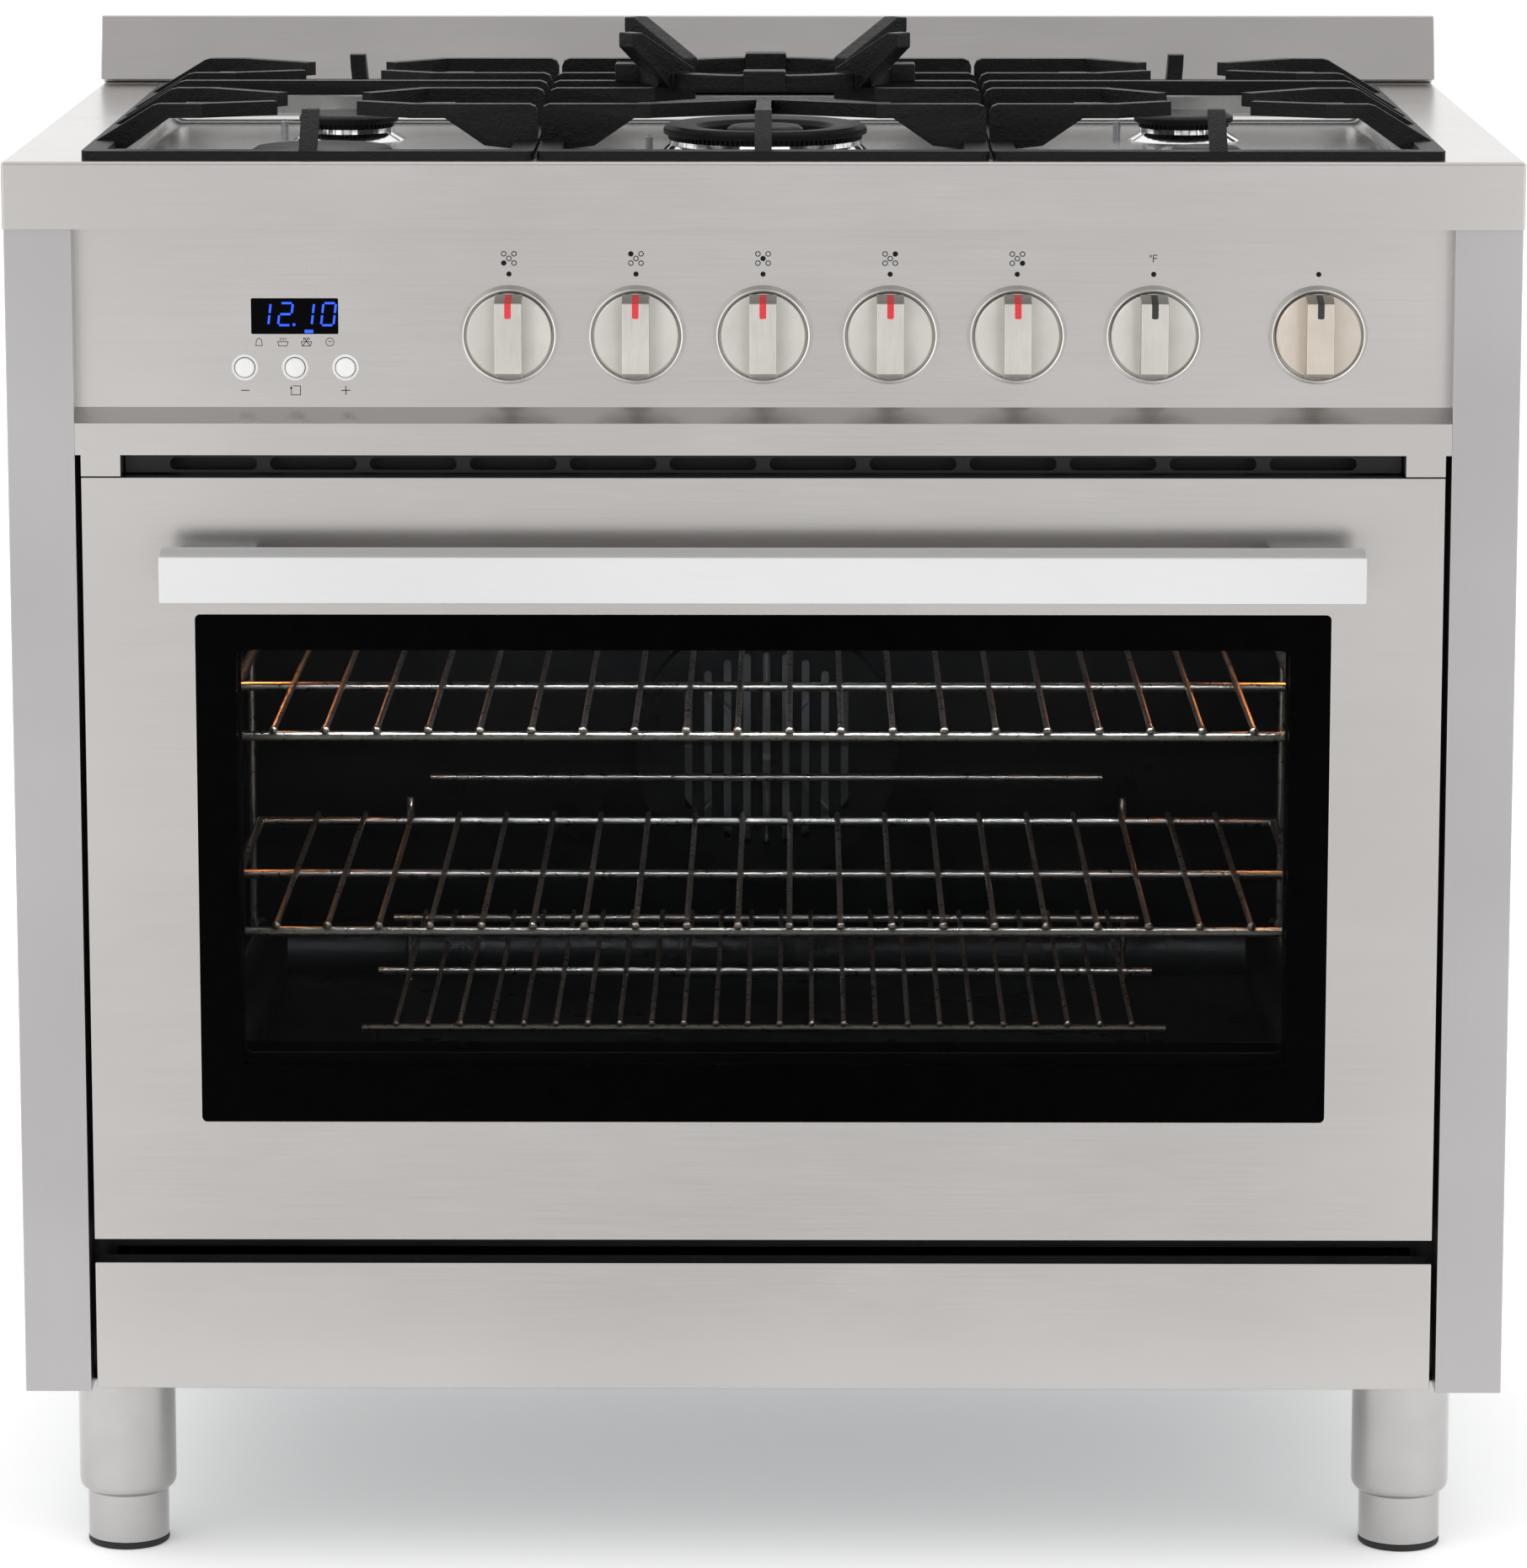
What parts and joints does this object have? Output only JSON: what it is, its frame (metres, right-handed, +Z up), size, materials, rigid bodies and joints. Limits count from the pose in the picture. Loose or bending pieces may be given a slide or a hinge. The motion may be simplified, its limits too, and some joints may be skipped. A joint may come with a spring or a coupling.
{
  "type": "freestanding gas range",
  "caption": "Freestanding stainless gas range with cast grates, wok ring, glazed oven door, storage drawer, clock, turning knobs and levelling feet.",
  "frame": {"origin": "on the floor, under the centre of the whole object's box", "axes": "+Z up, the door and the knobs face -Y, +X is to the right of someone who stands in front"},
  "size_m": [0.9, 0.651, 0.927],
  "materials": {
    "stainless": "brushed stainless steel sheet, satin grain along the width",
    "stainless_side": "stainless steel side sheet, finer grain",
    "galvanised": "plain galvanised steel sheet inside and behind",
    "black_enamel": "glossy black vitreous enamel on steel",
    "cast_iron": "sand-cast iron with satin black enamel",
    "cap_enamel": "matt black enamelled steel caps",
    "chrome": "bright chrome-plated wire and burner crowns",
    "burner_aluminium": "die-cast aluminium burner bodies",
    "handle_aluminium": "brushed and clear anodised aluminium",
    "knob_metal": "satin nickel-finished metal knobs",
    "bezel_metal": "satin chrome rings",
    "black_glass": "tempered glass with a black printed border",
    "clear_glass": "tempered clear inner glass",
    "display": "black plastic clock housing with a dark gloss window",
    "white_plastic": "white moulded buttons",
    "seal": "woven black oven door seal",
    "glass_wool": "yellow glass wool blanket",
    "brass": "brass valves and gas pipe",
    "lamp_glass": "clear lamp covers",
    "drawer_steel": "dark grey painted drawer box",
    "foot_metal": "turned stainless feet on black pads"
  },
  "bodies": {
    "body": {"worktop": "stainless", "backguard": "stainless", "side_panel_left": "stainless_side", "side_panel_right": "stainless_side", "rear_panel": "galvanised", "base_pan": "galvanised", "front_frame": "black_enamel", "control_panel": "stainless", "oven_cavity": "black_enamel", "oven_floor": "black_enamel", "insulation": "glass_wool", "door_seal": "seal", "rack_ladders": "chrome", "fan_cover": "black_enamel", "fan_motor": "galvanised", "oven_burners": "burner_aluminium", "oven_lamps": "lamp_glass", "drawer_runners": "galvanised", "leg_sleeves": "foot_metal", "burner_cups": "burner_aluminium", "burner_crowns": "chrome", "gas_rail": "brass", "display_module": "display", "knob_bezels": "bezel_metal"},
    "door": {"door_skin": "stainless", "door_glass_outer": "black_glass", "door_liner": "black_enamel", "door_glass_inner": "clear_glass", "door_hinges": "galvanised", "handle_bar": "handle_aluminium", "handle_posts": "burner_aluminium"},
    "drawer": {"drawer_front": "stainless", "drawer_box": "drawer_steel"},
    "upper_rack": {"rack_upper": "chrome"},
    "lower_rack": {"rack_lower": "chrome"},
    "tray": {"broiler_tray": "black_enamel"},
    "fan": {"fan_blade": "burner_aluminium"},
    "grate_left": {"grate_left": "cast_iron"},
    "grate_centre": {"grate_centre": "cast_iron"},
    "grate_right": {"grate_right": "cast_iron"},
    "wok_ring": {"wok_ring": "cast_iron"},
    "cap_front_left": {"cap_front_left": "cap_enamel"},
    "cap_rear_left": {"cap_rear_left": "cap_enamel"},
    "cap_centre": {"cap_centre": "cap_enamel"},
    "cap_rear_right": {"cap_rear_right": "cap_enamel"},
    "cap_front_right": {"cap_front_right": "cap_enamel"},
    "knob_1": {"knob_1": "knob_metal"},
    "knob_2": {"knob_2": "knob_metal"},
    "knob_3": {"knob_3": "knob_metal"},
    "knob_4": {"knob_4": "knob_metal"},
    "knob_5": {"knob_5": "knob_metal"},
    "knob_6": {"knob_6": "knob_metal"},
    "knob_7": {"knob_7": "knob_metal"},
    "button_minus": {"button_minus": "white_plastic"},
    "button_mode": {"button_mode": "white_plastic"},
    "button_plus": {"button_plus": "white_plastic"},
    "foot_front_left": {"foot_front_left": "foot_metal"},
    "foot_front_right": {"foot_front_right": "foot_metal"},
    "foot_rear_left": {"foot_rear_left": "foot_metal"},
    "foot_rear_right": {"foot_rear_right": "foot_metal"}
  },
  "joints": [
    {"name": "door_hinge", "type": "hinge", "parent": "body", "child": "door", "pos_m": [0, -0.2505, 0.2185], "axis": [1, 0, 0], "range_deg": [0, 90]},
    {"name": "drawer_slide", "type": "slide", "parent": "body", "child": "drawer", "axis": [0, -1, 0], "range_m": [0, 0.33]},
    {"name": "upper_rack_slide", "type": "slide", "parent": "body", "child": "upper_rack", "axis": [0, -1, 0], "range_m": [0, 0.034]},
    {"name": "lower_rack_slide", "type": "slide", "parent": "body", "child": "lower_rack", "axis": [0, -1, 0], "range_m": [0, 0.034]},
    {"name": "tray_slide", "type": "slide", "parent": "body", "child": "tray", "axis": [0, -1, 0], "range_m": [0, 0.034]},
    {"name": "fan_spin", "type": "hinge", "parent": "body", "child": "fan", "pos_m": [0, 0.1875, 0.432], "axis": [0, 1, 0], "continuous": true},
    {"name": "grate_left_lift", "type": "slide", "parent": "body", "child": "grate_left", "axis": [0, 0, 1], "range_m": [0, 0.06]},
    {"name": "grate_centre_lift", "type": "slide", "parent": "body", "child": "grate_centre", "axis": [0, 0, 1], "range_m": [0, 0.06]},
    {"name": "grate_right_lift", "type": "slide", "parent": "body", "child": "grate_right", "axis": [0, 0, 1], "range_m": [0, 0.06]},
    {"name": "wok_ring_lift", "type": "slide", "parent": "grate_centre", "child": "wok_ring", "axis": [0, 0, 1], "range_m": [0, 0.05]},
    {"name": "cap_front_left_lift", "type": "slide", "parent": "body", "child": "cap_front_left", "axis": [0, 0, 1], "range_m": [0, 0.012]},
    {"name": "cap_rear_left_lift", "type": "slide", "parent": "body", "child": "cap_rear_left", "axis": [0, 0, 1], "range_m": [0, 0.012]},
    {"name": "cap_centre_lift", "type": "slide", "parent": "body", "child": "cap_centre", "axis": [0, 0, 1], "range_m": [0, 0.012]},
    {"name": "cap_rear_right_lift", "type": "slide", "parent": "body", "child": "cap_rear_right", "axis": [0, 0, 1], "range_m": [0, 0.012]},
    {"name": "cap_front_right_lift", "type": "slide", "parent": "body", "child": "cap_front_right", "axis": [0, 0, 1], "range_m": [0, 0.012]},
    {"name": "knob_1_turn", "type": "hinge", "parent": "body", "child": "knob_1", "pos_m": [-0.151, -0.2645, 0.7605], "axis": [0, -1, 0], "range_deg": [0, 210]},
    {"name": "knob_2_turn", "type": "hinge", "parent": "body", "child": "knob_2", "pos_m": [-0.0755, -0.2645, 0.7605], "axis": [0, -1, 0], "range_deg": [0, 210]},
    {"name": "knob_3_turn", "type": "hinge", "parent": "body", "child": "knob_3", "pos_m": [0, -0.2645, 0.7605], "axis": [0, -1, 0], "range_deg": [0, 210]},
    {"name": "knob_4_turn", "type": "hinge", "parent": "body", "child": "knob_4", "pos_m": [0.0755, -0.2645, 0.7605], "axis": [0, -1, 0], "range_deg": [0, 210]},
    {"name": "knob_5_turn", "type": "hinge", "parent": "body", "child": "knob_5", "pos_m": [0.151, -0.2645, 0.7605], "axis": [0, -1, 0], "range_deg": [0, 210]},
    {"name": "knob_6_turn", "type": "hinge", "parent": "body", "child": "knob_6", "pos_m": [0.232, -0.2645, 0.7605], "axis": [0, -1, 0], "range_deg": [0, 270]},
    {"name": "knob_7_turn", "type": "hinge", "parent": "body", "child": "knob_7", "pos_m": [0.33, -0.2645, 0.7605], "axis": [0, -1, 0], "range_deg": [0, 240]},
    {"name": "button_minus_push", "type": "slide", "parent": "body", "child": "button_minus", "axis": [0, 1, 0], "range_m": [0, 0.0015], "stiffness_N_per_m": 400},
    {"name": "button_mode_push", "type": "slide", "parent": "body", "child": "button_mode", "axis": [0, 1, 0], "range_m": [0, 0.0015], "stiffness_N_per_m": 400},
    {"name": "button_plus_push", "type": "slide", "parent": "body", "child": "button_plus", "axis": [0, 1, 0], "range_m": [0, 0.0015], "stiffness_N_per_m": 400},
    {"name": "foot_front_left_level", "type": "slide", "parent": "body", "child": "foot_front_left", "axis": [0, 0, -1], "range_m": [0, 0.025]},
    {"name": "foot_front_right_level", "type": "slide", "parent": "body", "child": "foot_front_right", "axis": [0, 0, -1], "range_m": [0, 0.025]},
    {"name": "foot_rear_left_level", "type": "slide", "parent": "body", "child": "foot_rear_left", "axis": [0, 0, -1], "range_m": [0, 0.025]},
    {"name": "foot_rear_right_level", "type": "slide", "parent": "body", "child": "foot_rear_right", "axis": [0, 0, -1], "range_m": [0, 0.025]}
  ]
}
